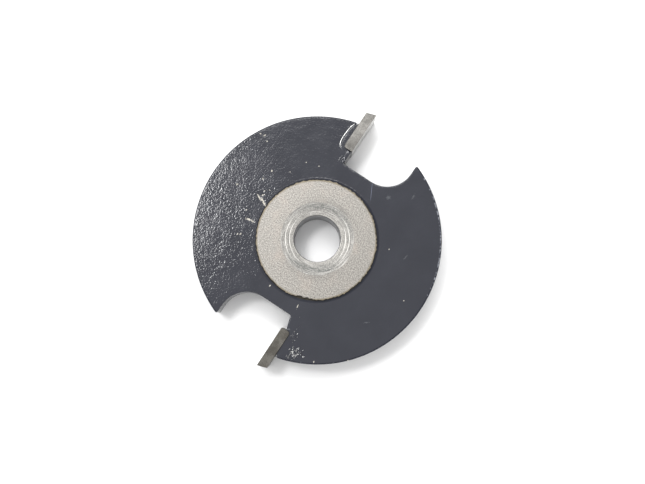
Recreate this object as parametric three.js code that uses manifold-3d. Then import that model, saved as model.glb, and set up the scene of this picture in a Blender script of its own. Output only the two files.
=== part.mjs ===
// A two-wing slot cutting and carving disc for a power tool spindle.
// One steel disc carries a raised hub with a plain bore, and two carbide tips
// are brazed into pockets in its rim, each with a square gullet ahead of it.
//
// Millimetres, +Z along the spindle. The origin is on the bore's axis at half
// the thickness, and the cutting corner of tip 1 lies on +Y.

import * as THREE from 'three';
import { mergeVertices } from 'three/addons/utils/BufferGeometryUtils.js';
import Module from 'manifold-3d';

const wasm = await Module();
wasm.setup();

const radians = THREE.MathUtils.degToRad;

// ---- driving dimensions, in millimetres and degrees

const CUTTING_RADIUS = 23.8; // 1 7/8 inch cutting circle
const KERF = 6.35; // 1/4 inch slot, the width of the tips
const BORE_RADIUS = 3.97; // 5/16 inch arbor
const BORE_CHAMFER = 0.1;

const PLATE_RADIUS = 21.4;
const PLATE_THICKNESS = 5.6;
const EDGE_BREAK = 0.15; // small chamfer round the plate's rim

const HUB_RADIUS = 10.25;
const HUB_THICKNESS = 6.4;
const HUB_SHOULDER = 0.15; // run of the short slope down to the plate
const DISH_RADIUS = 6.3; // shallow turned dish round the bore
const DISH_DEPTH = 0.1;

const WINGS = 2;
const RAKE_ANGLE = 8; // forward lean of the cutting face
const TIP_LENGTH = 7.7;
const TIP_THICKNESS = 1.7;
const TIP_CORNER_RADIUS = 0.5; // inner back corner of the tip
const TOP_RELIEF_ANGLE = 10; // fall of the tip's end behind its edge
const SIDE_RELIEF_ANGLE = 1.5; // the tip's sides close in towards its back
const RADIAL_RELIEF_ANGLE = 0.8; // and towards the spindle

const GULLET_FLOOR = 13.4; // from the axis, square to the cutting face
const GULLET_WIDTH = 10.6; // from the cutting face to the wall ahead of it
const GULLET_CORNER_RADIUS = 5;
const LEDGE_SETBACK = 0.75; // the ledge under the tip stops short of its face
const LEDGE_TOE = 0.12; // and its foot is nearly flush with the face

const BRAZE_FILM = 0.3; // between a tip and the walls of its pocket
const BRAZE_FIT = 0.03; // play that parts each solid from the next
const BEAD_RUN = 0.8; // braze fillet on the plate's faces behind the tip
const BEAD_RISE = 0.2;
const BEAD_END_MARGIN = 0.35; // the fillet stops this far inside the rim

const ROUND_SEGMENTS = 96;
const ARC_SEGMENTS = 12;
const CUT_MARGIN = 4; // how far a cutting prism runs past what it cuts

// ---- worked out from them
// A wing is drawn with x ahead of the cutting face and y along it, outwards.
// Turning that drawing back by the rake angle brings its cutting corner to +Y.

const rake = radians(RAKE_ANGLE);
const faceX = -CUTTING_RADIUS * Math.sin(rake);
const cornerY = CUTTING_RADIUS * Math.cos(rake);
const tipBackX = faceX - TIP_THICKNESS;
const tipInnerY = cornerY - TIP_LENGTH;
const tipFall = TIP_THICKNESS * Math.tan(rake + radians(TOP_RELIEF_ANGLE));
const seatX = tipBackX - BRAZE_FILM;
const seatY = tipInnerY - BRAZE_FILM;
const wallX = faceX + GULLET_WIDTH;
const ledgeX = faceX - LEDGE_SETBACK;

const STEEL = { color: 0x1d1e22, roughness: 0.3, metalness: 0.2 };
const CARBIDE = { color: 0x8f8d88, roughness: 0.45, metalness: 0.85 };
const BRAZE = { color: 0xb9b6ac, roughness: 0.35, metalness: 0.9 };

// ---- solids from three.js geometry

function solidFrom(geometry) {
  const bare = geometry.index ? geometry.toNonIndexed() : geometry.clone();
  bare.deleteAttribute('normal');
  bare.deleteAttribute('uv');
  const merged = mergeVertices(bare, 1e-4);
  const mesh = new wasm.Mesh({
    numProp: 3,
    vertProperties: new Float32Array(merged.attributes.position.array),
    triVerts: new Uint32Array(merged.index.array),
  });
  return new wasm.Manifold(mesh);
}

function geometryFrom(solid) {
  const mesh = solid.getMesh();
  const geometry = new THREE.BufferGeometry();
  geometry.setAttribute('position', new THREE.BufferAttribute(mesh.vertProperties, 3));
  geometry.setIndex(new THREE.BufferAttribute(mesh.triVerts, 1));
  geometry.computeVertexNormals();
  return geometry;
}

// An upright prism of the outline, centred on the middle of the disc.
function prism(outline, height) {
  const geometry = new THREE.ExtrudeGeometry(outline, {
    depth: height,
    bevelEnabled: false,
    curveSegments: ARC_SEGMENTS,
  });
  return geometry.translate(0, 0, -height / 2);
}

function namedMesh(name, solid, finish) {
  const mesh = new THREE.Mesh(geometryFrom(solid), new THREE.MeshStandardMaterial(finish));
  mesh.name = name;
  return mesh;
}

function wingAngle(wing) {
  return (wing * 2 * Math.PI) / WINGS - rake;
}

// ---- the steel disc

// Half of the turned section, from the bore to the rim, above the middle plane.
function upperSection() {
  const hub = HUB_THICKNESS / 2;
  const plate = PLATE_THICKNESS / 2;
  const dish = hub - DISH_DEPTH;
  return [
    new THREE.Vector2(BORE_RADIUS, dish - BORE_CHAMFER),
    new THREE.Vector2(BORE_RADIUS + BORE_CHAMFER, dish),
    new THREE.Vector2(DISH_RADIUS, hub),
    new THREE.Vector2(HUB_RADIUS, hub),
    new THREE.Vector2(HUB_RADIUS + HUB_SHOULDER, plate),
    new THREE.Vector2(PLATE_RADIUS - EDGE_BREAK, plate),
    new THREE.Vector2(PLATE_RADIUS, plate - EDGE_BREAK),
  ];
}

function turnedDisc() {
  const upper = upperSection();
  const lower = upper.map((point) => new THREE.Vector2(point.x, -point.y)).reverse();
  const section = [...lower, ...upper];
  section.push(section[0].clone());
  section.reverse();
  const geometry = new THREE.LatheGeometry(section, ROUND_SEGMENTS);
  return solidFrom(geometry.rotateX(Math.PI / 2));
}

// The gullet ahead of a tip and the pocket that the tip is brazed into, as one
// outline. It runs out past the rim, where there is nothing left to cut.
function gulletAndPocketOutline() {
  const outside = PLATE_RADIUS + CUT_MARGIN;
  const outline = new THREE.Shape();
  outline.moveTo(seatX, outside);
  outline.lineTo(seatX, seatY + TIP_CORNER_RADIUS);
  outline.absarc(
    seatX + TIP_CORNER_RADIUS, seatY + TIP_CORNER_RADIUS,
    TIP_CORNER_RADIUS, Math.PI, 1.5 * Math.PI, false,
  );
  outline.lineTo(ledgeX, seatY);
  outline.lineTo(faceX - LEDGE_TOE, GULLET_FLOOR);
  outline.lineTo(wallX - GULLET_CORNER_RADIUS, GULLET_FLOOR);
  outline.absarc(
    wallX - GULLET_CORNER_RADIUS, GULLET_FLOOR + GULLET_CORNER_RADIUS,
    GULLET_CORNER_RADIUS, -0.5 * Math.PI, 0, false,
  );
  outline.lineTo(wallX, outside);
  outline.closePath();
  return outline;
}

function discBody() {
  const cut = prism(gulletAndPocketOutline(), HUB_THICKNESS + CUT_MARGIN);
  let disc = turnedDisc();
  for (let wing = 0; wing < WINGS; wing += 1) {
    disc = disc.subtract(solidFrom(cut.clone().rotateZ(wingAngle(wing))));
  }
  return disc;
}

// ---- the carbide tips

// A large block whose near face leans across one side of a tip and takes off
// the side relief. It turns about the cutting corner, which keeps its width.
function sideReliefBlock(side) {
  const size = TIP_LENGTH + CUT_MARGIN * 2;
  const block = new THREE.BoxGeometry(size * 2, size * 2, size);
  block.translate(0, 0, (side * size) / 2);
  block.rotateX(side * radians(RADIAL_RELIEF_ANGLE));
  block.rotateY(-side * radians(SIDE_RELIEF_ANGLE));
  return block.translate(faceX, cornerY, (side * KERF) / 2);
}

function carbideTip() {
  const outline = new THREE.Shape();
  outline.moveTo(faceX, cornerY);
  outline.lineTo(tipBackX, cornerY - tipFall);
  outline.lineTo(tipBackX, tipInnerY + TIP_CORNER_RADIUS);
  outline.absarc(
    tipBackX + TIP_CORNER_RADIUS, tipInnerY + TIP_CORNER_RADIUS,
    TIP_CORNER_RADIUS, Math.PI, 1.5 * Math.PI, false,
  );
  outline.lineTo(faceX, tipInnerY);
  outline.closePath();
  return solidFrom(prism(outline, KERF))
    .subtract(solidFrom(sideReliefBlock(1)))
    .subtract(solidFrom(sideReliefBlock(-1)));
}

// ---- the silver braze that holds each tip

// The film between a tip and its pocket, seen along the spindle.
function brazeFilm() {
  const outerX = seatX + BRAZE_FIT;
  const outerY = seatY + BRAZE_FIT;
  const innerX = tipBackX - BRAZE_FIT;
  const innerY = tipInnerY - BRAZE_FIT;
  const top = Math.sqrt(PLATE_RADIUS ** 2 - seatX ** 2) - EDGE_BREAK;
  const round = TIP_CORNER_RADIUS;
  const film = new THREE.Shape();
  film.moveTo(outerX, top);
  film.lineTo(outerX, outerY + round);
  film.absarc(outerX + round, outerY + round, round, Math.PI, 1.5 * Math.PI, false);
  film.lineTo(ledgeX, outerY);
  film.lineTo(ledgeX, innerY);
  film.lineTo(innerX + round, innerY);
  film.absarc(innerX + round, innerY + round, round, 1.5 * Math.PI, Math.PI, true);
  film.lineTo(innerX, top);
  film.closePath();
  return solidFrom(prism(film, PLATE_THICKNESS + 2 * BEAD_RISE));
}

// The fillet that the braze leaves on one face of the plate behind the tip: a
// long wedge, high at the tip and running out over the plate.
function brazeBead(side) {
  const foot = PLATE_THICKNESS / 2 + BRAZE_FIT;
  const crest = PLATE_THICKNESS / 2 + BEAD_RISE;
  const filmMiddle = seatX + BRAZE_FILM / 2;
  const toeX = seatX - BEAD_RUN;
  const start = seatY + TIP_CORNER_RADIUS;
  const end = Math.sqrt(PLATE_RADIUS ** 2 - toeX ** 2) - BEAD_END_MARGIN;
  const wedge = new THREE.Shape();
  wedge.moveTo(filmMiddle, side * foot);
  wedge.lineTo(filmMiddle, side * crest);
  wedge.lineTo(toeX, side * foot);
  wedge.closePath();
  const bead = new THREE.ExtrudeGeometry(wedge, { depth: end - start, bevelEnabled: false });
  bead.rotateX(Math.PI / 2);
  return solidFrom(bead.translate(0, end, 0));
}

function brazeSeam() {
  return brazeFilm().add(brazeBead(1)).add(brazeBead(-1));
}

// ---- the assembly

const cutter = new THREE.Group();
cutter.add(namedMesh('disc_body', discBody(), STEEL));

for (let wing = 0; wing < WINGS; wing += 1) {
  const mount = new THREE.Group();
  mount.rotation.z = wingAngle(wing);
  mount.add(namedMesh(`carbide_tip_${wing + 1}`, carbideTip(), CARBIDE));
  mount.add(namedMesh(`braze_seam_${wing + 1}`, brazeSeam(), BRAZE));
  cutter.add(mount);
}

export default cutter;
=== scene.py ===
"""Looks for a two-wing slot cutting and carving disc, lying on a white table.

The disc body, the carbide tips and the silver braze are made here as fine meshes in the places
of their CAD solids. Lengths are in millimetres until a vertex is made, and then in metres.
"""

import math
import random

import bmesh
import bpy
from mathutils import Matrix, Vector, noise
from mathutils.geometry import delaunay_2d_cdt

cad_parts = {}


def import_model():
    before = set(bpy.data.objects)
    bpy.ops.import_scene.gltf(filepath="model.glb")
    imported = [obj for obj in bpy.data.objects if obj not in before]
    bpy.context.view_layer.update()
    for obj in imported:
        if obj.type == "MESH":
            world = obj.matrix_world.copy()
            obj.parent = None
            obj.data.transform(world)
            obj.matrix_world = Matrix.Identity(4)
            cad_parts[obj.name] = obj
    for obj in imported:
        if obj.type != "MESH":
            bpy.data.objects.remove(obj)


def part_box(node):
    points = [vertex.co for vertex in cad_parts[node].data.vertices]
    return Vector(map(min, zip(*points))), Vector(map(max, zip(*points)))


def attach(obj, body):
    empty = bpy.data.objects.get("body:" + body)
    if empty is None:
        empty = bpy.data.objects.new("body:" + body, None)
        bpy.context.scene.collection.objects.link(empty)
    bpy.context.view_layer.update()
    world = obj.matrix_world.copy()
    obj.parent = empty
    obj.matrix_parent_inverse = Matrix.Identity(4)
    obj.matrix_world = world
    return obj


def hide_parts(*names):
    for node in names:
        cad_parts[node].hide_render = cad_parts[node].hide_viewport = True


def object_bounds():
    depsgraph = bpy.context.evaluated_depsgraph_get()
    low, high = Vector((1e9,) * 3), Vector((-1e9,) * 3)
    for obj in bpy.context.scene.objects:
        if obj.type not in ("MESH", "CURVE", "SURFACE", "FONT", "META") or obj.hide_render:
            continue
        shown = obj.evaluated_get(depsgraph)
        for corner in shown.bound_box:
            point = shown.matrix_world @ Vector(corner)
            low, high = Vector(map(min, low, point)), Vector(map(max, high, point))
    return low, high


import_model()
cad_low, cad_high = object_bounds()

MM = 0.001

# ---- sizes read from the frame, in millimetres

BODY_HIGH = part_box("disc_body")[1] / MM
TIP_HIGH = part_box("carbide_tip_1")[1] / MM
PLATE_RADIUS = BODY_HIGH.x
HUB_HALF = BODY_HIGH.z
CUTTING_RADIUS = TIP_HIGH.y
KERF_HALF = TIP_HIGH.z

# ---- sizes that repeat the CAD model's, in millimetres, and its angles

PLATE_HALF = 2.8
BORE_RADIUS = 3.97
BORE_CHAMFER = 0.1
DISH_RADIUS = 6.3
DISH_DEPTH = 0.1
RAKE = math.radians(8)
TIP_LENGTH = 7.7
TIP_THICKNESS = 1.7
TIP_CORNER = 0.5
TOP_RELIEF = math.radians(10)
SIDE_RELIEF = math.radians(1.5)
RADIAL_RELIEF = math.radians(0.8)
GULLET_FLOOR = 13.4
GULLET_WIDTH = 10.6
GULLET_CORNER = 5.0
LEDGE_SETBACK = 0.75
LEDGE_TOE = 0.12
BRAZE_FILM = 0.3

# A wing is drawn with s forward, square to its cutting face, and t outwards along that face.
FACE_S = -CUTTING_RADIUS * math.sin(RAKE)
CORNER_T = CUTTING_RADIUS * math.cos(RAKE)
TIP_BACK_S = FACE_S - TIP_THICKNESS
TIP_INNER_T = CORNER_T - TIP_LENGTH
SEAT_S = TIP_BACK_S - BRAZE_FILM
SEAT_T = TIP_INNER_T - BRAZE_FILM
WALL_S = FACE_S + GULLET_WIDTH
LEDGE_S = FACE_S - LEDGE_SETBACK

# ---- sizes of the fine surface, in millimetres, and the turns of its rounded edges in degrees
# A cut is how far the rounding of a corner reaches along both its sides. A paint step is a share
# of the way out to the hub's foot, and a share of the paint's thickness.

EDGE_ROUND = 0.13
RIM_STEP = 0.3
FACE_STEP = 0.24
EDGE_TURNS = (0, 22.5, 45, 67.5, 90)
HORN_CUT = 0.5
TOE_CUT = 0.12
LEDGE_CUT = 0.24
SEAT_CUT = 0.4
RIM_CLEAR = 0.6
HUB_SEGMENTS = 560
HUB_RINGS = (9.5, 9.0, 8.2, 7.4, 6.8)
BORE_LEVELS = (2.0, 1.0, 0.0, -1.0, -2.0)
PAINT_THICKNESS = 0.015
PAINT_STEPS = ((0.75, 0.2), (0.5, 0.6), (0.3, 1.0), (0.12, 1.0), (0.0, 0.0))
PAINT_BITE = 0.05
DISH_STEP = 0.1
GROOVE_RADII = (4.77, 5.46, 5.95)
GROOVE_DEPTH = 0.005
GROOVE_HALF_WIDTH = 0.1
PEEL_HEIGHT = 0.003
SWELL_HEIGHT = 0.008
CHIP_DEPTH = 0.04
TIP_EDGE_BREAK = 0.04
TIP_FOOT_CUT = 0.22

# ---- sizes of the braze, in millimetres on a wing's drawing

FILM_GAP = 0.02
FILM_TOP_T = 20.65
FILLET_TOP_T = 20.25
FILLET_RISE = 0.03
FILLET_RUN = 0.95
FILLET_SHARES = (0.0, 0.06, 0.14, 0.25, 0.4, 0.55, 0.7, 0.85, 1.0)
FILLET_SUNK = 0.12
RIDGE_RADIUS = 0.085
RIDGE_LINE = (
    (-5.65, 20.3),
    (-5.93, 19.45),
    (-6.05, 18.3),
    (-6.06, 17.0),
    (-5.9, 16.2),
    (-5.6, 15.55),
)
SMEAR_RADIUS = RIDGE_RADIUS * 0.55
SMEAR_LINES = (
    ((-4.4, 13.35), (-4.5, 13.9), (-4.35, 14.5)),
    ((-4.0, 13.3), (-4.1, 13.8), (-3.95, 14.3), (-3.8, 14.7)),
    ((-3.72, 13.4), (-3.75, 13.8), (-3.66, 14.2)),
)
LUMP_OUTLINE = (
    (-4.3, 15.85),
    (-4.15, 14.6),
    (-3.7, 13.5),
    (-3.5, 13.42),
    (-3.45, 14.2),
    (-3.42, 15.0),
    (-3.4, 15.85),
)

# The camera looks down with the disc turned by this much from its own frame.
VIEW_TURN = math.radians(25.5)

# The hub's bare face is off the spindle's axis, and the enamel rises to it from the foot.
GROUND_RADIUS = 10.29
GROUND_SHIFT = (-0.15, -0.18)
HUB_FOOT_RADIUS = 10.75

# ---- marks on the face that is up, as the camera sees them: x, y, half length, half width, and
# the angle of the length in degrees

CHIPS = (
    (-10.05, 7.3, 0.42, 0.12, -62),
    (-9.65, 6.85, 0.36, 0.19, -34),
    (-9.2, 6.25, 0.5, 0.17, -60),
    (-9.35, 7.6, 0.3, 0.08, 20),
    (-11.85, 3.4, 0.52, 0.15, -20),
    (-11.1, 3.05, 0.36, 0.11, -30),
)
# Specks: some are bare nibs and pits in the enamel, and some are painted glints.
SPECKS_AND_GLINTS = (
    (-13.83, 9.45, 0.17, 0.13, 20),
    (-13.67, 0.84, 0.14, 0.11, 60),
    (-13.13, 0.86, 0.15, 0.12, 45),
    (-8.07, -8.01, 0.17, 0.11, 60),
    (-9.81, 18.31, 0.13, 0.1, 0),
    (-9.11, 18.0, 0.2, 0.1, 30),
    (-8.64, 16.97, 0.12, 0.11, 0),
    (-7.83, 11.78, 0.14, 0.12, 80),
    (-9.38, 10.44, 0.2, 0.07, 85),
    (-9.09, 8.3, 0.16, 0.07, 10),
    (-8.2, 8.45, 0.14, 0.07, -40),
    (-12.16, 5.03, 0.16, 0.08, 30),
    (-3.37, -11.58, 0.34, 0.08, 66),
    (-0.6, -20.95, 0.16, 0.1, 80),
    (12.3, -1.8, 0.1, 0.07, 50),
    (14.75, -10.6, 0.11, 0.08, 20),
    (-1.9, 13.3, 0.1, 0.08, 80),
    (-4.7, 11.6, 0.1, 0.07, 40),
    (0.3, 12.6, 0.1, 0.08, 0),
    (5.2, -20.7, 0.14, 0.07, 10),
)
RUBS = (
    (18.75, 10.5, 0.5, 0.18, -62),
    (16.55, 7.24, 0.4, 0.14, 62),
    (12.25, 7.15, 0.35, 0.3, 20),
    (15.1, -3.2, 0.4, 0.1, 45),
    (8.4, -14.3, 0.5, 0.1, 10),
)
SCRATCH = (9.35, 8.3, 1.9, 0.05, 84)

# ---- where the other marks are, as angles round the axis in the disc's frame

# The stretch of the rim's top edge that has lighter grey nicks.
RIM_NICK_ANGLE = math.radians(2) + VIEW_TURN
RIM_NICK_REACH = math.radians(36)
FLAT_SPOT_ANGLE = math.radians(-103) + VIEW_TURN
FLAT_SPOT_REACH = math.radians(10)
FLAT_SPOT_DEPTH = 0.3
RAGGED_DEPTH = 0.2
COARSE_PEEL_ANGLE = math.radians(163) + VIEW_TURN
COARSE_PEEL_REACH = math.radians(66)
# The two sides where the painted dark reflections lie, on the hub and in the dish.
TOP_DARK_REFLECTION_ANGLE = math.radians(66) + VIEW_TURN
LOW_DARK_REFLECTION_ANGLE = math.radians(-103) + VIEW_TURN
# Painted highlights: thin light arcs in the dish at its left and right.
HIGHLIGHT_ARCS = (
    (math.radians(176) + VIEW_TURN, (4.77, 5.46)),
    (math.radians(2) + VIEW_TURN, (4.9, 5.5)),
)
HIGHLIGHT_ARC_REACH = math.radians(50)

# Painted dark reflections on the hub's face, as angle and reach, and in the dish, as angle, reach and
# inner radius. Both are streaked round the axis.
HUB_DARK_REFLECTIONS = (
    (TOP_DARK_REFLECTION_ANGLE, math.radians(62)),
    (LOW_DARK_REFLECTION_ANGLE, math.radians(70)),
)
DISH_DARK_REFLECTIONS = (
    (TOP_DARK_REFLECTION_ANGLE, math.radians(74), 5.2),
    (LOW_DARK_REFLECTION_ANGLE, math.radians(64), 4.8),
)
STREAK_WIDTH = 0.13
STREAK_DEGREES = 30

# ---- the drops of braze: most lie in a pool, the rest in a trail, in millimetres as the camera
# sees them

DROPS = 120
POOLED_SHARE = 0.7
POOL_X, POOL_Y = -3.75, -19.5
POOL_SPREAD_X, POOL_SPREAD_Y = 0.6, 0.5
TRAIL_X, TRAIL_SPREAD_X = -4.1, 0.5
TRAIL_LOW_Y, TRAIL_HIGH_Y = -17.6, -13.4
SMALLEST_DROP = 0.04
LARGEST_POOLED_DROP = 0.115
LARGEST_TRAIL_DROP = 0.07

# ---- colours, and pairs of tones that run from dark to light

ENAMEL_DARK = (0.012, 0.0132, 0.0196, 1)
ENAMEL_LIGHT = (0.0182, 0.0198, 0.0282, 1)
ENAMEL_BROWN = (0.032, 0.028, 0.021, 1)
ENAMEL_SCRATCHED = (0.09, 0.1, 0.14, 1)
ENAMEL_RUBBED = (0.05, 0.054, 0.062, 1)
CHIP_DARK = (0.16, 0.15, 0.13, 1)
CHIP_LIGHT = (0.56, 0.53, 0.46, 1)
# Lighter grey for the nicks along one stretch of the rim's top edge.
RIM_NICK_GREY = (0.2, 0.21, 0.235, 1)
BARE_DARK = (0.068, 0.064, 0.058, 1)
BARE_LIGHT = (0.415, 0.396, 0.366, 1)
BARE_PITTED = (0.25, 0.235, 0.22, 1)
BARE_STAINED = (0.34, 0.29, 0.25, 1)
# Painted dark reflection on the hub's face, above and below the dish.
BARE_DARK_REFLECTION = (0.13, 0.127, 0.12, 1)
BARE_BROWN = (0.16, 0.138, 0.1, 1)
TURNED_DARK = (0.11, 0.106, 0.099, 1)
TURNED_LIGHT = (0.31, 0.299, 0.28, 1)
TURNED_MARK_DARK = (0.15, 0.148, 0.14, 1)
TURNED_MARK_LIGHT = (0.44, 0.43, 0.41, 1)
# The colour of the painted highlight arcs in the dish.
TURNED_HIGHLIGHT = (0.56, 0.55, 0.52, 1)
# Painted dark reflection in the dish, above and below the bore.
TURNED_DARK_REFLECTION = (0.1, 0.103, 0.099, 1)
# Painted shade on the bore's chamfer.
BORE_EDGE_SHADE = (0.09, 0.09, 0.09, 1)
BORE_WALL = (0.28, 0.28, 0.285, 1)
TIP_TONES = (
    ((0.075, 0.072, 0.067, 1), (0.194, 0.188, 0.176, 1)),
    ((0.07, 0.065, 0.057, 1), (0.133, 0.127, 0.114, 1)),
)
# The same carbide painted lighter for the cutting faces: a painted highlight.
LIT_CUTTING_FACE_TONES = ((0.42, 0.415, 0.4, 1), (0.52, 0.515, 0.5, 1))
BRAZE_TONES = ((0.4, 0.4, 0.39, 1), (0.86, 0.86, 0.84, 1))
TARNISHED_TONES = ((0.05, 0.05, 0.055, 1), (0.3, 0.3, 0.31, 1))
TABLE_WHITE = (0.86, 0.86, 0.86, 1)

# ---- table, light and camera: places are as the camera sees them, in millimetres from the
# disc, and the lamps' sides are in metres

TABLE_HALF = 3000
WALL_LIGHT = 1.15
ZENITH_LIGHT = 1.02
WINDOW_PLACE = (-112, 60, 297)
WINDOW_SIDE = 0.06
WINDOW_POWER = 0.345
SKYLIGHT_PLACE = (-60, 420, 575)
SKYLIGHT_SIDE = 0.44
SKYLIGHT_POWER = 3.7
CAMERA_PLACE = (0.2, -15.18, 163.38)
CAMERA_PITCH = math.radians(5.21)
CAMERA_ROLL = math.radians(-0.25)
CAMERA_LENS = 52.5


# ================ places

def wing_turn(wing):
    return wing * math.pi - RAKE


def on_wing(s, t, wing):
    """A point of a wing's drawing, in the disc's frame."""
    turn = wing_turn(wing)
    x = s * math.cos(turn) - t * math.sin(turn)
    y = s * math.sin(turn) + t * math.cos(turn)
    return Vector((x, y))


def drawn_place(place, wing):
    """A point of the disc's frame, as s and t on a wing's drawing."""
    turn = -wing_turn(wing)
    s = place.x * math.cos(turn) - place.y * math.sin(turn)
    t = place.x * math.sin(turn) + place.y * math.cos(turn)
    return s, t


def as_seen(x, y, z=0.0):
    """A place given as the camera sees it, x to the right and y up, in the disc's frame."""
    turned_x = x * math.cos(VIEW_TURN) - y * math.sin(VIEW_TURN)
    turned_y = x * math.sin(VIEW_TURN) + y * math.cos(VIEW_TURN)
    return Vector((turned_x, turned_y, z))


GROUND_CENTRE = as_seen(*GROUND_SHIFT)
HUB_ANGLES = [2 * math.pi * i / HUB_SEGMENTS for i in range(HUB_SEGMENTS)]


def arc(centre_x, centre_y, radius, start, end, count):
    """Points along an arc, both of its ends among them."""
    points = []
    for i in range(count + 1):
        angle = start + (end - start) * i / count
        points.append((centre_x + radius * math.cos(angle), centre_y + radius * math.sin(angle)))
    return points


# ================ materials

def add(tree, kind, settings=None, inputs=None):
    """A new shader node, with its settings and its sockets' values or links."""
    made = tree.nodes.new(kind)
    for key, value in (settings or {}).items():
        setattr(made, key, value)
    for key, value in (inputs or {}).items():
        socket = made.inputs[key]
        if isinstance(value, bpy.types.NodeSocket):
            tree.links.new(value, socket)
        else:
            socket.default_value = value
    return made


def new_material(name, roughness, metallic):
    material = bpy.data.materials.new(name)
    material.use_nodes = True
    tree = material.node_tree
    shader = tree.nodes["Principled BSDF"]
    shader.inputs["Roughness"].default_value = roughness
    shader.inputs["Metallic"].default_value = metallic
    coords = add(tree, "ShaderNodeTexCoord").outputs["Object"]
    return material, tree, shader, coords


def noise_of(tree, coords, size_mm, detail=2.0, rough=0.5):
    """Noise whose lumps are about size_mm across."""
    inputs = {"Vector": coords, "Scale": 1 / (size_mm * MM), "Detail": detail, "Roughness": rough}
    return add(tree, "ShaderNodeTexNoise", None, inputs).outputs["Fac"]


def remap(tree, value, low, high, to_low=0.0, to_high=1.0):
    inputs = {"Value": value, "From Min": low, "From Max": high, "To Min": to_low, "To Max": to_high}
    return add(tree, "ShaderNodeMapRange", None, inputs).outputs["Result"]


def math_of(tree, operation, first, second):
    made = add(tree, "ShaderNodeMath", {"operation": operation}, {0: first, 1: second})
    return made.outputs["Value"]


def mix_colour(tree, factor, first, second):
    """A Mix node, whose colours come in at sockets 6 and 7 and go out at 2."""
    inputs = {0: factor, 6: first, 7: second}
    return add(tree, "ShaderNodeMix", {"data_type": "RGBA"}, inputs).outputs[2]


def bump(tree, height, depth_mm, strength=1.0, normal=None):
    inputs = {"Height": height, "Distance": depth_mm * MM, "Strength": strength}
    if normal is not None:
        inputs["Normal"] = normal
    return add(tree, "ShaderNodeBump", None, inputs).outputs["Normal"]


def radius_of(tree, coords, centre=Vector((0, 0, 0))):
    """The distance from the spindle's axis, or from a centre near it, in millimetres."""
    inputs = {0: coords, 1: (1 / MM, 1 / MM, 0)}
    flat = add(tree, "ShaderNodeVectorMath", {"operation": "MULTIPLY"}, inputs)
    inputs = {0: flat.outputs["Vector"], 1: centre}
    return add(tree, "ShaderNodeVectorMath", {"operation": "DISTANCE"}, inputs).outputs["Value"]


def turned_noise(tree, coords, radius, across_mm, around):
    """Noise drawn out into arcs round the spindle's axis, this wide and this many degrees long."""
    parts = add(tree, "ShaderNodeSeparateXYZ", None, {0: coords}).outputs
    angle = math_of(tree, "ARCTAN2", parts["Y"], parts["X"])
    x = math_of(tree, "DIVIDE", radius, across_mm)
    y = math_of(tree, "DIVIDE", angle, math.radians(around))
    place = add(tree, "ShaderNodeCombineXYZ", None, {"X": x, "Y": y}).outputs["Vector"]
    inputs = {"Vector": place, "Scale": 1.0, "Detail": 2.0, "Roughness": 0.6}
    return add(tree, "ShaderNodeTexNoise", None, inputs).outputs["Fac"]


def spot(tree, coords, wobble, mark):
    """A mask, 1 inside an oval mark with a ragged edge, on the face that is up."""
    x, y, half_length, half_width, angle = mark
    inputs = {
        "Vector": coords,
        "Location": as_seen(x, y, PLATE_HALF) * MM,
        "Rotation": (0, 0, math.radians(angle) + VIEW_TURN),
        "Scale": (half_length * MM, half_width * MM, MM),
    }
    local = add(tree, "ShaderNodeMapping", {"vector_type": "TEXTURE"}, inputs).outputs["Vector"]
    size = add(tree, "ShaderNodeVectorMath", {"operation": "LENGTH"}, {0: local}).outputs["Value"]
    return remap(tree, math_of(tree, "ADD", size, wobble), 1.15, 0.85)


def any_spot(tree, coords, wobble, marks):
    masks = [spot(tree, coords, wobble, mark) for mark in marks]
    whole = masks[0]
    for mask in masks[1:]:
        whole = math_of(tree, "MAXIMUM", whole, mask)
    return whole


def sector(tree, coords, radius, angle, reach):
    """A soft mask, 1 towards an angle from the axis and 0 further round than reach."""
    along = (math.cos(angle) / MM, math.sin(angle) / MM, 0)
    dot = add(tree, "ShaderNodeVectorMath", {"operation": "DOT_PRODUCT"}, {0: coords, 1: along})
    cosine = math_of(tree, "DIVIDE", dot.outputs["Value"], radius)
    return remap(tree, cosine, math.cos(reach), math.cos(reach * 0.35))


def band(tree, radius, inner, outer, soft):
    """A mask, 1 between two radii, with edges this soft."""
    rising = remap(tree, radius, inner - soft, inner + soft)
    falling = remap(tree, radius, outer + soft, outer - soft)
    return math_of(tree, "MULTIPLY", rising, falling)


def rim_nicks(tree, coords, radius, at_edge):
    """A mask of lighter grey nicks along one stretch of the rim's top edge."""
    stretch = sector(tree, coords, radius, RIM_NICK_ANGLE, RIM_NICK_REACH)
    threshold = remap(tree, stretch, 0.0, 1.0, 0.68, 0.5)
    nicks = noise_of(tree, coords, size_mm=0.4, rough=0.6)
    nicked = remap(tree, math_of(tree, "SUBTRACT", nicks, threshold), 0.0, 0.03)
    at_rim = band(tree, radius, PLATE_RADIUS - 0.3, PLATE_RADIUS - 0.1, 0.04)
    return math_of(tree, "MULTIPLY", nicked, math_of(tree, "MULTIPLY", at_rim, at_edge))


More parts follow.
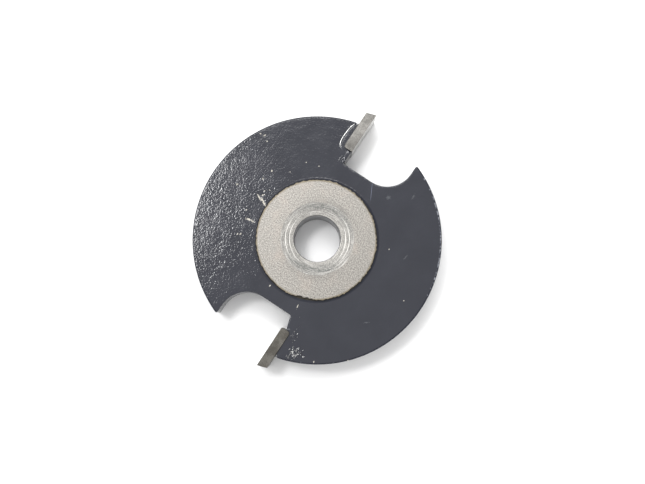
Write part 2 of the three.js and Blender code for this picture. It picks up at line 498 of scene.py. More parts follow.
def enamel_material():
    """Black enamel with orange peel, chipped and scratched, with lighter specks and lighter grey nicks
    along one stretch of the rim.
    """
    material, tree, shader, coords = new_material("black_enamel", 0.2, 0.0)
    radius = radius_of(tree, coords)
    cloud = noise_of(tree, coords, size_mm=4.0)
    colour = mix_colour(tree, cloud, ENAMEL_DARK, ENAMEL_LIGHT)
    ground_radius = radius_of(tree, coords, GROUND_CENTRE)
    brown_edge = band(tree, ground_radius, GROUND_RADIUS - 0.3, GROUND_RADIUS + 0.12, 0.05)
    colour = mix_colour(tree, brown_edge, colour, ENAMEL_BROWN)

    fine = noise_of(tree, coords, size_mm=0.16, detail=3.0, rough=0.7)
    wobble = remap(tree, fine, 0.3, 0.7, -0.8, 0.8)
    torn = remap(tree, noise_of(tree, coords, size_mm=0.2, detail=4.0, rough=0.7), 0.3, 0.7, -1.1, 1.3)
    scratch = spot(tree, coords, remap(tree, fine, 0.0, 1.0, -0.1, 0.3), SCRATCH)
    colour = mix_colour(tree, scratch, colour, ENAMEL_SCRATCHED)
    colour = mix_colour(tree, any_spot(tree, coords, torn, RUBS), colour, ENAMEL_RUBBED)
    chips = any_spot(tree, coords, torn, CHIPS)
    # Specks take the chips' beige as well: they are partly bare nibs and partly painted glints.
    specks_and_glints = any_spot(tree, coords, wobble, SPECKS_AND_GLINTS)
    chips_specks_and_glints = math_of(tree, "MAXIMUM", chips, specks_and_glints)
    beige = mix_colour(tree, remap(tree, fine, 0.35, 0.6), CHIP_DARK, CHIP_LIGHT)
    colour = mix_colour(tree, chips_specks_and_glints, colour, beige)

    height = add(tree, "ShaderNodeSeparateXYZ", None, {0: coords}).outputs["Z"]
    height = math_of(tree, "ABSOLUTE", height, 0.0)
    at_edge = remap(tree, height, (PLATE_HALF - 0.14) * MM, (PLATE_HALF - 0.08) * MM)
    # Lighter grey nicks along one stretch of the rim's top edge.
    nicked = rim_nicks(tree, coords, radius, at_edge)
    colour = mix_colour(tree, nicked, colour, RIM_NICK_GREY)
    tree.links.new(colour, shader.inputs["Base Color"])

    # The enamel is dull at its chips, specks and nicks, and on the slope up to the hub.
    slope = band(tree, ground_radius, GROUND_RADIUS - 0.3, GROUND_RADIUS + 0.5, 0.05)
    marked = math_of(tree, "MAXIMUM", chips_specks_and_glints, nicked)
    matt = math_of(tree, "MAXIMUM", marked, math_of(tree, "MULTIPLY", slope, 0.6))
    gloss = remap(tree, cloud, 0.3, 0.7, 0.12, 0.17)
    roughness = math_of(tree, "MAXIMUM", gloss, math_of(tree, "MULTIPLY", matt, 0.5))
    tree.links.new(roughness, shader.inputs["Roughness"])

    # It is thin, and hardly shines, where it is drawn over the rim's rounding.
    rounding = remap(tree, radius, PLATE_RADIUS - 0.3, PLATE_RADIUS - 0.16)
    rounding = math_of(tree, "MULTIPLY", rounding, at_edge)
    shine = remap(tree, slope, 0.0, 1.0, 0.54, 0.18)
    shine = math_of(tree, "MULTIPLY", shine, remap(tree, rounding, 0.0, 1.0, 1.0, 0.25))
    tree.links.new(shine, shader.inputs["Specular IOR Level"])

    swell = bump(tree, noise_of(tree, coords, size_mm=1.3, detail=1.0), 0.03)
    peel = noise_of(tree, coords, size_mm=0.27, detail=1.2)
    coarse = sector(tree, coords, radius, COARSE_PEEL_ANGLE, COARSE_PEEL_REACH)
    strength = remap(tree, coarse, 0.0, 1.0, 0.46, 1.0)
    tree.links.new(bump(tree, peel, 0.036, strength, swell), shader.inputs["Normal"])
    return material


def bare_steel_material():
    """The hub's faces, blasted and then ground: a fine speckle, a painted dark reflection above and
    below the dish, and rust-brown at the enamel."""
    material, tree, shader, coords = new_material("bare_steel", 0.5, 1.0)
    grain = noise_of(tree, coords, size_mm=0.2, detail=3.0, rough=0.75)
    colour = mix_colour(tree, remap(tree, grain, 0.3, 0.7), BARE_DARK, BARE_LIGHT)
    pits = remap(tree, noise_of(tree, coords, size_mm=0.3), 0.7, 0.76)
    colour = mix_colour(tree, pits, colour, BARE_PITTED)
    stain = remap(tree, noise_of(tree, coords, size_mm=3.0), 0.5, 0.75, 0.0, 0.3)
    colour = mix_colour(tree, stain, colour, BARE_STAINED)

    radius = radius_of(tree, coords)
    streaks = turned_noise(tree, coords, radius, STREAK_WIDTH, STREAK_DEGREES)
    streaks = remap(tree, streaks, 0.4, 0.6)
    by_dish = remap(tree, radius, DISH_RADIUS + 1.3, DISH_RADIUS - 0.1, 0.0, 0.75)
    streaked_reflection = math_of(tree, "MULTIPLY", streaks, by_dish)
    # Darker above and below the dish: a painted dark reflection.
    for angle, reach in HUB_DARK_REFLECTIONS:
        facing = sector(tree, coords, radius, angle, reach)
        reflection_here = math_of(tree, "MULTIPLY", streaked_reflection, facing)
        colour = mix_colour(tree, reflection_here, colour, BARE_DARK_REFLECTION)

    ground_radius = radius_of(tree, coords, GROUND_CENTRE)
    ragged = math_of(tree, "ADD", ground_radius, remap(tree, grain, 0.3, 0.7, -0.09, 0.09))
    brown = remap(tree, ragged, GROUND_RADIUS - 0.3, GROUND_RADIUS - 0.04)
    colour = mix_colour(tree, brown, colour, BARE_BROWN)
    tree.links.new(colour, shader.inputs["Base Color"])
    tree.links.new(bump(tree, grain, 0.02), shader.inputs["Normal"])
    return material


def dish_dark_reflection(tree, coords, radius, grain):
    """A mask of the painted dark reflections over and under the bore, streaked round the axis."""
    masks = []
    for angle, reach, inner in DISH_DARK_REFLECTIONS:
        facing = sector(tree, coords, radius, angle, reach)
        in_dish = band(tree, radius, inner, DISH_RADIUS - 0.3, 0.45)
        masks.append(math_of(tree, "MULTIPLY", facing, in_dish))
    reflection_mask = math_of(tree, "MAXIMUM", masks[0], masks[1])
    streaks = turned_noise(tree, coords, radius, STREAK_WIDTH, STREAK_DEGREES)
    streaks = remap(tree, streaks, 0.36, 0.6, 0.1, 1.0)
    reflection_mask = math_of(tree, "MULTIPLY", reflection_mask, streaks)
    return math_of(tree, "MULTIPLY", reflection_mask, remap(tree, grain, 0.35, 0.65, 1.4, 0.5))


def turned_steel_material():
    """The turned dish and the bore, with painted dark reflections over and under the bore, painted
    highlight arcs at its sides and painted shade round the bore's edge.
    """
    material, tree, shader, coords = new_material("turned_steel", 0.46, 1.0)
    radius = radius_of(tree, coords)
    grain = noise_of(tree, coords, size_mm=0.18, rough=0.6)
    colour = mix_colour(tree, remap(tree, grain, 0.3, 0.7), TURNED_DARK, TURNED_LIGHT)
    marks = turned_noise(tree, coords, radius, 0.075, 34.0)
    dark_marks = remap(tree, marks, 0.5, 0.66, 0.0, 0.75)
    colour = mix_colour(tree, dark_marks, colour, TURNED_MARK_DARK)
    light_marks = remap(tree, marks, 0.48, 0.34, 0.0, 0.75)
    colour = mix_colour(tree, light_marks, colour, TURNED_MARK_LIGHT)
    # Darker above and below the bore: a painted dark reflection.
    colour = mix_colour(tree, dish_dark_reflection(tree, coords, radius, grain), colour, TURNED_DARK_REFLECTION)
    # Painted highlights: thin light arcs in the dish at its left and right.
    for angle, radii in HIGHLIGHT_ARCS:
        facing = sector(tree, coords, radius, angle, HIGHLIGHT_ARC_REACH)
        for arc_radius in radii:
            thin = band(tree, radius, arc_radius - 0.05, arc_radius + 0.05, 0.03)
            broken = math_of(tree, "MULTIPLY", thin, remap(tree, marks, 0.65, 0.45, 0.2, 1.0))
            highlight = math_of(tree, "MULTIPLY", facing, broken)
            colour = mix_colour(tree, highlight, colour, TURNED_HIGHLIGHT)
    # A thin dark ring at the bore's edge: painted shade on its chamfer.
    bore_edge_shade = band(tree, radius, BORE_RADIUS + 0.01, BORE_RADIUS + 0.09, 0.02)
    colour = mix_colour(tree, bore_edge_shade, colour, BORE_EDGE_SHADE)
    in_bore = remap(tree, radius, BORE_RADIUS + 0.02, BORE_RADIUS + 0.01)
    colour = mix_colour(tree, in_bore, colour, BORE_WALL)
    tree.links.new(colour, shader.inputs["Base Color"])
    turning = bump(tree, marks, 0.012)
    tree.links.new(bump(tree, grain, 0.012, 1.0, turning), shader.inputs["Normal"])
    return material


def carbide_material(name, dark, light, wing):
    """Sintered carbide with the marks of the grinding wheel along the tip."""
    material, tree, shader, coords = new_material(name, 0.42, 1.0)
    grain = noise_of(tree, coords, size_mm=0.18, detail=3.0, rough=0.6)
    cloud = noise_of(tree, coords, size_mm=2.4)
    speckle = math_of(tree, "MULTIPLY", grain, 0.45)
    tone = math_of(tree, "ADD", speckle, math_of(tree, "MULTIPLY", cloud, 0.55))
    colour = mix_colour(tree, remap(tree, tone, 0.4, 0.6), dark, light)
    inputs = {
        "Vector": coords,
        "Rotation": (0, 0, wing_turn(wing)),
        "Scale": (0.12 * MM, 4 * MM, 0.12 * MM),
    }
    along = add(tree, "ShaderNodeMapping", {"vector_type": "TEXTURE"}, inputs).outputs["Vector"]
    scores = add(tree, "ShaderNodeTexNoise", None, {"Vector": along, "Scale": 1.0}).outputs["Fac"]
    tree.links.new(colour, shader.inputs["Base Color"])
    pitted = bump(tree, grain, 0.012)
    tree.links.new(bump(tree, scores, 0.006, 1.0, pitted), shader.inputs["Normal"])
    return material


def braze_material(name, dark, light):
    """Silver braze, lighter where it beads and darker in its hollows."""
    material, tree, shader, coords = new_material(name, 0.3, 1.0)
    grain = noise_of(tree, coords, size_mm=0.25, rough=0.6)
    colour = mix_colour(tree, remap(tree, grain, 0.35, 0.6), dark, light)
    tree.links.new(colour, shader.inputs["Base Color"])
    tree.links.new(bump(tree, grain, 0.04), shader.inputs["Normal"])
    return material


ENAMEL = enamel_material()
BARE_STEEL = bare_steel_material()
TURNED_STEEL = turned_steel_material()
# A lighter copy of the carbide for the cutting faces, as a painted highlight.
LIT_CUTTING_FACE = carbide_material("carbide_face_painted_highlight", *LIT_CUTTING_FACE_TONES, 0)
BRAZE = braze_material("silver_braze", *BRAZE_TONES)
TARNISHED_BRAZE = braze_material("tarnished_braze", *TARNISHED_TONES)

# The materials of the disc and of a piece of braze, in the order that their meshes hold them.
DISC_MATERIALS = [ENAMEL, BARE_STEEL, TURNED_STEEL]
ENAMELLED, BARE, TURNED = 0, 1, 2
BRAZE_MATERIALS = [BRAZE, ENAMEL, TARNISHED_BRAZE]
CLEAN, UNDER_ENAMEL, TARNISHED = 0, 1, 2


# ================ mesh helpers

def new_piece(name, mesh, materials, nodes):
    """Closes off a bmesh as a piece that rides with the disc, in the place of some CAD nodes."""
    bmesh.ops.recalc_face_normals(mesh, faces=mesh.faces)
    data = bpy.data.meshes.new(name)
    mesh.to_mesh(data)
    mesh.free()
    for material in materials:
        data.materials.append(material)
    data.polygons.foreach_set("use_smooth", [True] * len(data.polygons))
    piece = bpy.data.objects.new(name, data)
    bpy.context.scene.collection.objects.link(piece)
    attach(piece, "root")
    if nodes:
        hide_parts(*nodes)
    return piece


def loop_at(mesh, points, z):
    """Vertices at the points of a flat outline, at one height."""
    return [mesh.verts.new((p[0] * MM, p[1] * MM, z * MM)) for p in points]


def bridge(mesh, first, second, material):
    """A strip of quads between two closed loops with the same number of vertices."""
    strip = []
    for i in range(len(first)):
        j = (i + 1) % len(first)
        face = mesh.faces.new((first[i], first[j], second[j], second[i]))
        face.material_index = material
        strip.append(face)
    return strip


def sweep(mesh, rows, material):
    """A closed solid through rows of points, each row a closed section. Returns its strips."""
    loops = [[mesh.verts.new(point * MM) for point in row] for row in rows]
    strips = [bridge(mesh, first, second, material) for first, second in zip(loops, loops[1:])]
    for cap in (loops[0], loops[-1]):
        mesh.faces.new(cap).material_index = material
    return strips


def inward(points):
    """The mitred inward normal at each point of a counter-clockwise outline."""
    normals = []
    count = len(points)
    for i in range(count):
        before = (points[i] - points[i - 1]).normalized()
        after = (points[(i + 1) % count] - points[i]).normalized()
        tangent = (before + after).normalized()
        normal = Vector((-tangent.y, tangent.x))
        stretch = 1 / max(0.5, normal.dot(Vector((-before.y, before.x))))
        normals.append(normal * stretch)
    return normals


def rounded(points, cuts):
    """Rounds the corners of a closed outline. Each cut is how far along both sides the rounding
    of its point reaches, or 0 for none."""
    made = []
    parts = 5
    for i, point in enumerate(points):
        corner = Vector(point)
        if cuts[i] == 0:
            made.append(corner)
            continue
        following = Vector(points[(i + 1) % len(points)])
        before = (Vector(points[i - 1]) - corner).normalized() * cuts[i]
        after = (following - corner).normalized() * cuts[i]
        for step in range(parts + 1):
            share = step / parts
            made.append(corner + before * (1 - share) ** 2 + after * share ** 2)
    return made


def spaced(points, step):
    """Adds points so that no side of a closed outline is longer than step."""
    made = []
    for i, point in enumerate(points):
        following = points[(i + 1) % len(points)]
        parts = max(1, math.ceil((following - point).length / step))
        made += [point.lerp(following, k / parts) for k in range(parts)]
    return made


# ================ the steel disc

def disc_outline():
    """The disc seen from above, counter-clockwise, with its gullets and tip pockets."""
    outline = []
    cuts = []
    for wing in range(2):
        horn_t = math.sqrt(PLATE_RADIUS ** 2 - WALL_S ** 2)
        seat_top_t = math.sqrt(PLATE_RADIUS ** 2 - SEAT_S ** 2)
        bend = (WALL_S - GULLET_CORNER, GULLET_FLOOR + GULLET_CORNER)
        drawn = [(WALL_S, horn_t, HORN_CUT)]
        drawn += [(s, t, 0) for s, t in arc(*bend, GULLET_CORNER, 0, -math.pi / 2, 24)]
        drawn.append((FACE_S - LEDGE_TOE, GULLET_FLOOR, TOE_CUT))
        drawn.append((LEDGE_S, SEAT_T, LEDGE_CUT))
        centre = (SEAT_S + TIP_CORNER, SEAT_T + TIP_CORNER)
        drawn += [(s, t, 0) for s, t in arc(*centre, TIP_CORNER, -math.pi / 2, -math.pi, 6)]
        drawn.append((SEAT_S, seat_top_t, SEAT_CUT))
        for s, t, cut in drawn:
            outline.append(on_wing(s, t, wing))
            cuts.append(cut)
        clear = RIM_CLEAR / PLATE_RADIUS
        start = math.atan2(seat_top_t, SEAT_S) + wing_turn(wing) + clear
        end = math.atan2(horn_t, WALL_S) + wing_turn(wing) + math.pi - clear
        steps = round((end - start) * PLATE_RADIUS / RIM_STEP)
        for x, y in arc(0, 0, PLATE_RADIUS, start, end, steps):
            outline.append(Vector((x, y)))
            cuts.append(0)
    return spaced(rounded(outline, cuts), RIM_STEP)


def slope_height(share):
    """The enamel from the hub's edge, where share is 0, down to the plate, where it is 1."""
    smooth = share * share * (3 - 2 * share)
    return HUB_HALF + (PLATE_HALF - HUB_HALF) * smooth


def paint_edge(angle, side):
    """The ragged radius where the enamel was ground off the hub."""
    place = Vector((math.cos(angle) * 6, math.sin(angle) * 6, side * 9.0))
    ragged = 0.06 * noise.noise(place * 0.7) + RAGGED_DEPTH * noise.noise(place * 4.6)
    off_axis = GROUND_CENTRE.x * math.cos(angle) + GROUND_CENTRE.y * math.sin(angle)
    dip = 0.0
    if side > 0:
        turn = math.remainder(angle - FLAT_SPOT_ANGLE, 2 * math.pi) / FLAT_SPOT_REACH
        dip = FLAT_SPOT_DEPTH * math.exp(-turn ** 4)
    return GROUND_RADIUS + off_axis + ragged - dip


def turning_mark(radius):
    """Height of the turned rings in the dish, a few of them cut deeper."""
    fine = 0.3 * GROOVE_DEPTH * noise.noise(Vector((radius * 7.0, 0, 0)))
    deep = sum(math.exp(-((radius - cut) / GROOVE_HALF_WIDTH) ** 2) for cut in GROOVE_RADII)
    return fine - GROOVE_DEPTH * deep


def ring(mesh, radii, z):
    """A loop round the axis, with one radius for each of the hub's angles."""
    around = zip(radii, HUB_ANGLES)
    return loop_at(mesh, [(r * math.cos(turn), r * math.sin(turn)) for r, turn in around], z)


def hub_rings(side):
    """The loops from the hub's foot in to the edge of the bore, on one face. Each is its radii,
    its height, and the material of the strip that ends at it."""
    edges = [paint_edge(angle, side) for angle in HUB_ANGLES]
    rings = []
    for share, lift in PAINT_STEPS:
        radii = [edge + (HUB_FOOT_RADIUS - edge) * share for edge in edges]
        height = slope_height(min(1.0, share / 0.6)) + lift * PAINT_THICKNESS
        rings.append((radii, height, ENAMELLED))
    rings.append(([edge - PAINT_BITE for edge in edges], HUB_HALF, BARE))
    for radius in HUB_RINGS + (DISH_RADIUS,):
        rings.append(([radius] * HUB_SEGMENTS, HUB_HALF, BARE))
    dish_edge = BORE_RADIUS + BORE_CHAMFER
    steps = round((DISH_RADIUS - dish_edge) / DISH_STEP)
    for i in range(1, steps + 1):
        radius = DISH_RADIUS + (dish_edge - DISH_RADIUS) * i / steps
        height = HUB_HALF - DISH_DEPTH * i / steps + turning_mark(radius) * min(1.0, steps - i)
        rings.append(([radius] * HUB_SEGMENTS, height, TURNED))
    for share in (0.3, 0.7, 1.0):
        down = share * math.pi / 2
        radius = dish_edge - BORE_CHAMFER * math.sin(down)
        height = HUB_HALF - DISH_DEPTH - BORE_CHAMFER * (1 - math.cos(down))
        rings.append(([radius] * HUB_SEGMENTS, height, TURNED))
    return rings


def hub_face(mesh, foot, side):
    """One face of the hub, in from the loop at its foot. Returns the loop at the bore."""
    last = foot
    for radii, height, material in hub_rings(side):
        loop = ring(mesh, radii, side * height)
        bridge(mesh, last, loop, material)
        last = loop
    return last


def near_gullet(place):
    """Whether a point is close enough to a gullet or a tip pocket for the outline to matter."""
    for wing in range(2):
        s, t = drawn_place(place, wing)
        if t > GULLET_FLOOR - 0.5 and SEAT_S - 0.5 < s < WALL_S + 0.5:
            return True
    return False


def face_points(outer):
    """A jittered triangular lattice over the plate's face, clear of its edges."""
    draw = random.Random(7)
    row_step = FACE_STEP * math.sqrt(3) / 2
    rows = math.ceil(PLATE_RADIUS / row_step)
    columns = math.ceil(PLATE_RADIUS / FACE_STEP)
    jitter = FACE_STEP * 0.15
    gap = 0.15
    points = []
    for row in range(-rows, rows + 1):
        for column in range(-columns, columns + 1):
            x = (column + 0.5 * (row % 2)) * FACE_STEP + draw.uniform(-jitter, jitter)
            y = row * row_step + draw.uniform(-jitter, jitter)
            place = Vector((x, y))
            if not HUB_FOOT_RADIUS + gap < math.hypot(x, y) < PLATE_RADIUS - EDGE_ROUND - gap:
                continue
            if near_gullet(place) and not (inside(outer, place) and clear_of(outer, place, gap)):
                continue
            points.append(place)
    return points


def inside(outline, place):
    """Whether a point is inside a closed outline."""
    crossings = 0
    for i, point in enumerate(outline):
        before = outline[i - 1]
        if (point.y > place.y) != (before.y > place.y):
            share = (place.y - before.y) / (point.y - before.y)
            if place.x < before.x + share * (point.x - before.x):
                crossings += 1
    return crossings % 2 == 1


def clear_of(outline, place, gap):
    """Whether a point keeps a gap to every point of an outline."""
    return not any(abs(p.x - place.x) < gap and abs(p.y - place.y) < gap for p in outline)


def chip_depth(x, y):
    """How deep the enamel is chipped at a point of the face that is up."""
    depth = 0.0
    for chip_x, chip_y, half_length, half_width, angle in CHIPS:
        offset = Vector((x, y)) - as_seen(chip_x, chip_y).xy
        turn = math.radians(angle) + VIEW_TURN
        along = offset.x * math.cos(turn) + offset.y * math.sin(turn)
        across = offset.y * math.cos(turn) - offset.x * math.sin(turn)
        size = math.hypot(along / half_length, across / half_width)
        depth = max(depth, CHIP_DEPTH * min(1.0, max(0.0, 1.4 - size) / 0.4))
    return depth


def face_height(x, y, side):
    """The enamel's surface: a slow swell, orange peel, and the chips on the face that is up."""
    place = Vector((x, y, side * 20.0))
    height = SWELL_HEIGHT * noise.noise(place * 0.5) + PEEL_HEIGHT * noise.noise(place * 1.7)
    if side > 0:
        height -= chip_depth(x, y)
    return PLATE_HALF + height


def plate_face(mesh, fixed, lattice, triangles, order, side):
    """One face of the plate, between its rounded edge and the hub's foot."""
    free = []
    for point in lattice:
        z = side * face_height(point.x, point.y, side)
        free.append(mesh.verts.new((point.x * MM, point.y * MM, z * MM)))
    corners = fixed + free
    for triangle in triangles:
        mesh.faces.new([corners[order[i]] for i in triangle])


def triangulate(outer, foot, lattice):
    """Triangles over the plate's face, and for each of their vertices the point it came from."""
    points = list(outer) + list(foot) + list(lattice)
    edges = [(i, (i + 1) % len(outer)) for i in range(len(outer))]
    edges += [(len(outer) + i, len(outer) + (i + 1) % len(foot)) for i in range(len(foot))]
    verts, _, faces, origins, _, _ = delaunay_2d_cdt(points, edges, [], 1, 1e-7)
    if not all(origins):
        raise ValueError("the plate's outline crosses itself")
    kept = []
    for face in faces:
        middle = sum((verts[i] for i in face), Vector((0, 0))) / 3
        if middle.length < HUB_FOOT_RADIUS - 0.002:
            continue
        if near_gullet(middle) and not inside(outer, middle):
            continue
        kept.append(tuple(face))
    return kept, [origin[0] for origin in origins]


def edge_levels():
    """How far in and how high each loop round the plate's wall is, from the top face down."""
    turns = [math.radians(turn) for turn in EDGE_TURNS]
    insets = [EDGE_ROUND * (1 - math.sin(turn)) for turn in turns]
    heights = [PLATE_HALF - EDGE_ROUND * (1 - math.cos(turn)) for turn in turns]
    upper = list(zip(insets, heights))
    lower = [(inset, -z) for inset, z in reversed(upper)]
    return upper + [(0.0, 1.0), (0.0, -1.0)] + lower


def disc_body():
    """The disc: its wall with rounded edges, both faces of the plate and hub, and the bore."""
    outline = disc_outline()
    normals = inward(outline)
    mesh = bmesh.new()
    loops = []
    for inset, z in edge_levels():
        loops.append(loop_at(mesh, [p + n * inset for p, n in zip(outline, normals)], z))
    for upper, lower in zip(loops, loops[1:]):
        bridge(mesh, upper, lower, ENAMELLED)
    outer = [p + n * EDGE_ROUND for p, n in zip(outline, normals)]
    foot = [Vector(p) for p in arc(0, 0, HUB_FOOT_RADIUS, 0, 2 * math.pi, HUB_SEGMENTS)[:-1]]
    lattice = face_points(outer)
    triangles, order = triangulate(outer, foot, lattice)
    bores = []
    for side, outer_loop in ((1, loops[0]), (-1, loops[-1])):
        foot_loop = loop_at(mesh, foot, side * PLATE_HALF)
        plate_face(mesh, outer_loop + foot_loop, lattice, triangles, order, side)
        bores.append(hub_face(mesh, foot_loop, side))
    last = bores[0]
    for z in BORE_LEVELS:
        loop = loop_at(mesh, [vert.co.xy / MM for vert in bores[0]], z)
        bridge(mesh, last, loop, TURNED)
        last = loop
    bridge(mesh, last, bores[1], TURNED)
    new_piece("disc_steel", mesh, DISC_MATERIALS, ["disc_body"])


# ================ the carbide tips

def tip_half_width(s, t):
    """Half the width of a tip, which closes in behind and below its cutting corner."""
    behind = (FACE_S - s) * math.tan(SIDE_RELIEF)
    below = (CORNER_T - t) * math.tan(RADIAL_RELIEF)
    return KERF_HALF - behind - below


def carbide_tip(wing, material):
    """A tip with broken edges. Its cutting face has a lighter copy of the carbide, a painted
    highlight.
    """
    fall = TIP_THICKNESS * math.tan(RAKE + TOP_RELIEF)
    drawn = [(FACE_S, CORNER_T, 0), (TIP_BACK_S, CORNER_T - fall, 0)]
    centre = (TIP_BACK_S + TIP_CORNER, TIP_INNER_T + TIP_CORNER)
    drawn += [(s, t, 0) for s, t in arc(*centre, TIP_CORNER, math.pi, 1.5 * math.pi, 8)]
    drawn.append((FACE_S, TIP_INNER_T, TIP_FOOT_CUT))
    outline = rounded([point[:2] for point in drawn], [point[2] for point in drawn])
    normals = inward(outline)
    mesh = bmesh.new()
    edge = TIP_EDGE_BREAK
    levels = [(edge, 1.0, 0), (edge * 0.3, 1.0, edge * 0.3), (0, 1.0, edge)]
    levels += [(inset, -1.0, drop) for inset, _, drop in reversed(levels)]
    rows = []
    for inset, side, drop in levels:
        row = []
        for point, normal in zip(outline, normals):
            s, t = point + normal * inset
            place = on_wing(s, t, wing)
            row.append(Vector((place.x, place.y, side * (tip_half_width(s, t) - drop))))
        rows.append(row)
    sweep(mesh, rows, 0)
    # The cutting face takes the lighter carbide, a painted highlight.
    for face in mesh.faces:
        if all(on_cutting_face(vert.co / MM, wing) for vert in face.verts):
            face.material_index = 1
    name = f"ground_tip_{wing + 1}"
    materials = [material, LIT_CUTTING_FACE]
    piece = new_piece(name, mesh, materials, [f"carbide_tip_{wing + 1}"])
    piece.data.polygons.foreach_set("use_smooth", [False] * len(piece.data.polygons))


def on_cutting_face(place, wing):
    s, _ = drawn_place(place, wing)
    return s > FACE_S - 0.02


# ================ the silver braze

def tip_side(from_t, to_s):
    """Points with outward normals along the back of a tip from from_t, round its inner corner,
    and along its inner end as far as to_s, on the wing's drawing."""
    path = []
    back_parts = 24
    corner_parts = 8
    end_parts = 6
    low_t = TIP_INNER_T + TIP_CORNER
    for i in range(back_parts):
        t = from_t + (low_t - from_t) * i / back_parts
        path.append((Vector((TIP_BACK_S, t)), Vector((-1, 0))))
    centre = Vector((TIP_BACK_S + TIP_CORNER, low_t))
    for i in range(corner_parts + 1):
        angle = math.pi + math.pi / 2 * i / corner_parts
        normal = Vector((math.cos(angle), math.sin(angle)))
        path.append((centre + normal * TIP_CORNER, normal))
    for i in range(1, end_parts + 1):
        s = centre.x + (to_s - centre.x) * i / end_parts
        path.append((Vector((s, TIP_INNER_T)), Vector((0, -1))))
    return path


def film(mesh, wing):
    """The thin layer of braze between the tip and its pocket."""
    top = PLATE_HALF - FILM_GAP
    rows = []
    for point, normal in tip_side(FILM_TOP_T, LEDGE_S - 0.04):
        near = on_wing(*(point + normal * FILM_GAP), wing)
        far = on_wing(*(point + normal * (BRAZE_FILM - FILM_GAP)), wing)
        row = [(near, -top), (near, top), (far, top), (far, -top)]
        rows.append([Vector((place.x, place.y, z)) for place, z in row])
    sweep(mesh, rows, TARNISHED)


def fillet_run(share, wing, side):
    """How far the fillet reaches from the tip, by how far round the tip it is."""
    swell = math.sin(math.pi * min(1.0, 0.25 + share * 0.8)) ** 0.6
    uneven = 0.12 * noise.noise(Vector((share * 6, wing * 7.0, side * 5.0)))
    width = 1.0 if (wing == 0 and side > 0) else 0.75
    return FILLET_RUN * width * (0.45 + 0.6 * swell) + uneven


def fillet(mesh, wing, side):
    """The fillet that the braze leaves between the tip's side and the plate's face. It is under
    the enamel, except for a strip along the first tip."""
    path = tip_side(FILLET_TOP_T, LEDGE_S - 0.1)
    rows = []
    for i, (point, normal) in enumerate(path):
        along = i / (len(path) - 1)
        run = fillet_run(along, wing, side)
        ends = min(1.0, 6 * along, 8 * (1 - along) + 0.25)
        row = []
        for share in FILLET_SHARES:
            place = on_wing(*(point + normal * (0.01 + run * share)), wing)
            wave = 0.008 * noise.noise(Vector((along * 14, share * 5, wing * 3.0 + side)))
            height = FILLET_RISE * ends + wave - 0.06 * share ** 4
            row.append(Vector((place.x, place.y, side * (PLATE_HALF + height))))
        for share in (1.0, 0.0):
            place = on_wing(*(point + normal * (0.01 + run * share)), wing)
            row.append(Vector((place.x, place.y, side * (PLATE_HALF - FILLET_SUNK))))
        rows.append(row)
    for strip in sweep(mesh, rows, UNDER_ENAMEL):
        strip[0].material_index = TARNISHED if wing == 0 else UNDER_ENAMEL


def ridge(mesh, points, radius, material):
    """A bead of braze on the plate's top face, through points of the first wing's drawing."""
    line = smooth_line([Vector(point) for point in points], 8)
    rows = []
    for i, point in enumerate(line):
        ahead = line[min(i + 1, len(line) - 1)] - line[max(i - 1, 0)]
        across = Vector((-ahead.y, ahead.x)).normalized()
        share = i / (len(line) - 1)
        taper = min(1.0, 0.25 + 5 * share, 0.25 + 5 * (1 - share))
        uneven = 1 + 0.35 * noise.noise(Vector((point.x * 2.2, point.y * 2.2, 3.0)))
        size = radius * taper * uneven
        row = []
        for k in range(8):
            angle = 2 * math.pi * k / 8
            place = on_wing(*(point + across * size * math.cos(angle)), 0)
            row.append(Vector((place.x, place.y, PLATE_HALF + 0.9 * size * math.sin(angle))))
        rows.append(row)
    sweep(mesh, rows, material)


def smooth_line(points, steps):
    """A Catmull-Rom curve through the points."""
    line = []
    last = len(points) - 1
    for i in range(last):
        before, start, end, after = (points[max(0, min(last, i + k))] for k in (-1, 0, 1, 2))
        for k in range(steps):
            u = k / steps
            first = 2 * start + (end - before) * u
            second = (2 * before - 5 * start + 4 * end - after) * u ** 2
            third = (3 * start - before - 3 * end + after) * u ** 3
            line.append((first + second + third) / 2)
    line.append(points[-1])
    return line


def blob(mesh, place, radius, height, stretch, turn, seed, material):
    """A drop of braze, half sunk in the plate's top face."""
    made = bmesh.ops.create_icosphere(mesh, subdivisions=2, radius=1.0)["verts"]
    for vert in made:
        lump = 1 + 0.9 * noise.noise(vert.co * 1.8 + Vector((seed * 3.7, 0, 0)))
        x = vert.co.x * radius * stretch * lump
        y = vert.co.y * radius / stretch * lump
        z = vert.co.z * height * lump
        across = x * math.cos(turn) - y * math.sin(turn)
        along = x * math.sin(turn) + y * math.cos(turn)
        vert.co = Vector((place.x + across, place.y + along, PLATE_HALF + z)) * MM
    for face in {face for vert in made for face in vert.link_faces}:
        face.material_index = material


def beside_tip(place):
    """Whether a point is in the second gullet, or too close to its tip."""
    s, t = drawn_place(place, 1)
    return s > TIP_BACK_S - 0.35 and t > GULLET_FLOOR - 0.4


def ledge_lump(mesh):
    """The braze that filled the ledge under the first tip's inner end. It is under the enamel."""
    outline = [Vector(point) for point in LUMP_OUTLINE]
    middle = sum(outline, Vector((0, 0))) / len(outline)
    levels = ((0.5, PLATE_HALF + 0.05), (0.9, PLATE_HALF + 0.02), (1.0, PLATE_HALF - 0.08))
    rows = []
    for spread, z in levels + tuple((spread, -z) for spread, z in reversed(levels)):
        places = [on_wing(*middle.lerp(point, spread), 0) for point in outline]
        rows.append([Vector((place.x, place.y, z)) for place in places])
    sweep(mesh, rows, UNDER_ENAMEL)


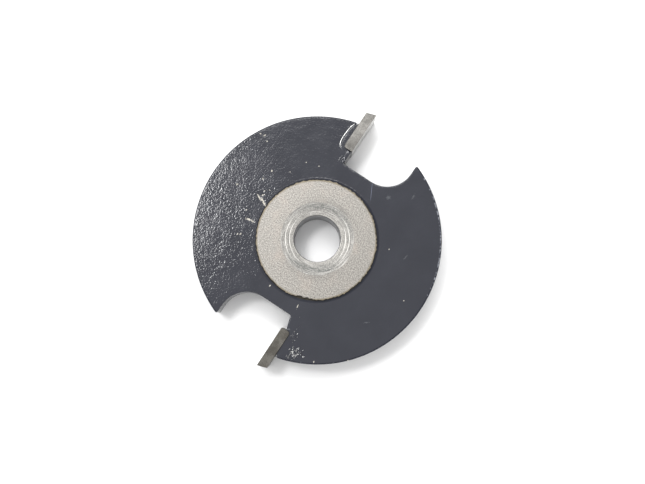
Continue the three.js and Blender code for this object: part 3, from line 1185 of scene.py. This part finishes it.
def braze(wing):
    """Everything between a tip and its pocket, and the fillets on both faces."""
    mesh = bmesh.new()
    film(mesh, wing)
    for side in (1, -1):
        fillet(mesh, wing, side)
    if wing == 0:
        ledge_lump(mesh)
    name = f"braze_fillet_{wing + 1}"
    new_piece(name, mesh, BRAZE_MATERIALS, [f"braze_seam_{wing + 1}"])


def braze_ridges():
    """The bead that ran out behind the first tip, and the smears at its ledge."""
    mesh = bmesh.new()
    ridge(mesh, RIDGE_LINE, RIDGE_RADIUS, CLEAN)
    for line in SMEAR_LINES:
        ridge(mesh, line, SMEAR_RADIUS, TARNISHED)
    new_piece("braze_bead_1", mesh, BRAZE_MATERIALS, [])


def braze_spatter():
    """The blisters and drops of braze that ran out behind the second tip."""
    mesh = bmesh.new()
    draw = random.Random(23)
    made = 0
    while made < DROPS:
        pooled = made < DROPS * POOLED_SHARE
        if pooled:
            x = draw.gauss(POOL_X, POOL_SPREAD_X)
            y = draw.gauss(POOL_Y, POOL_SPREAD_Y)
            largest = LARGEST_POOLED_DROP
            materials = (CLEAN, CLEAN, TARNISHED, UNDER_ENAMEL)
        else:
            x = draw.gauss(TRAIL_X, TRAIL_SPREAD_X)
            y = draw.uniform(TRAIL_LOW_Y, TRAIL_HIGH_Y)
            largest = LARGEST_TRAIL_DROP
            materials = (CLEAN, TARNISHED, TARNISHED, UNDER_ENAMEL)
        place = as_seen(x, y).xy
        if place.length > PLATE_RADIUS - 0.35 or beside_tip(place):
            continue
        radius = draw.uniform(SMALLEST_DROP, largest)
        material = draw.choice(materials)
        turn = VIEW_TURN + math.radians(draw.gauss(50, 35))
        blob(mesh, place, radius, radius * 0.9, draw.uniform(1.3, 2.4), turn, made, material)
        made += 1
    new_piece("braze_spatter_2", mesh, BRAZE_MATERIALS, [])


# ================ making everything

disc_body()
for wing, (dark, light) in enumerate(TIP_TONES):
    carbide_tip(wing, carbide_material(f"tungsten_carbide_{wing + 1}", dark, light, wing))
    braze(wing)
braze_ridges()
braze_spatter()


# ================ table, light and camera

def table():
    """The white table, level with the lowest point of the disc."""
    material, _, shader, _ = new_material("table", 0.9, 0.0)
    shader.inputs["Base Color"].default_value = TABLE_WHITE
    shader.inputs["Specular IOR Level"].default_value = 0.1
    mesh = bmesh.new()
    corners = [(-1, -1), (1, -1), (1, 1), (-1, 1)]
    half = TABLE_HALF * MM
    mesh.faces.new([mesh.verts.new((x * half, y * half, cad_low.z)) for x, y in corners])
    data = bpy.data.meshes.new("table")
    mesh.to_mesh(data)
    mesh.free()
    data.materials.append(material)
    floor = bpy.data.objects.new("table", data)
    bpy.context.scene.collection.objects.link(floor)


def lamp(name, place, side, power):
    """A square lamp that faces the disc. Its side is in metres, as lamps' sizes are."""
    light = bpy.data.lights.new(name, "AREA")
    light.shape = "SQUARE"
    light.size = side
    light.energy = power
    made = bpy.data.objects.new(name, light)
    made.location = as_seen(*place) * MM
    made.rotation_euler = (-made.location).to_track_quat("-Z", "Y").to_euler()
    bpy.context.scene.collection.objects.link(made)


def world():
    """A pale room, brighter round its walls than straight overhead."""
    made = bpy.data.worlds.new("room")
    made.use_nodes = True
    tree = made.node_tree
    direction = add(tree, "ShaderNodeTexCoord").outputs["Generated"]
    height = add(tree, "ShaderNodeSeparateXYZ", None, {0: direction}).outputs["Z"]
    strength = remap(tree, height, 0.0, 1.0, WALL_LIGHT, ZENITH_LIGHT)
    background = tree.nodes["Background"]
    background.inputs["Color"].default_value = (1, 1, 1, 1)
    tree.links.new(strength, background.inputs["Strength"])
    bpy.context.scene.world = made


def camera():
    """The camera, almost straight above the disc."""
    data = bpy.data.cameras.new("camera")
    data.sensor_width = 36.0
    data.lens = CAMERA_LENS
    made = bpy.data.objects.new("camera", data)
    turn = Matrix.Rotation(VIEW_TURN, 4, "Z")
    place = Matrix.Translation(Vector(CAMERA_PLACE) * MM)
    tilt = Matrix.Rotation(CAMERA_PITCH, 4, "X") @ Matrix.Rotation(CAMERA_ROLL, 4, "Y")
    made.matrix_world = turn @ place @ tilt
    bpy.context.scene.collection.objects.link(made)
    bpy.context.scene.camera = made


table()
world()
lamp("window", WINDOW_PLACE, WINDOW_SIDE, WINDOW_POWER)
lamp("skylight", SKYLIGHT_PLACE, SKYLIGHT_SIDE, SKYLIGHT_POWER)
camera()
bpy.context.scene.view_settings.view_transform = "Standard"
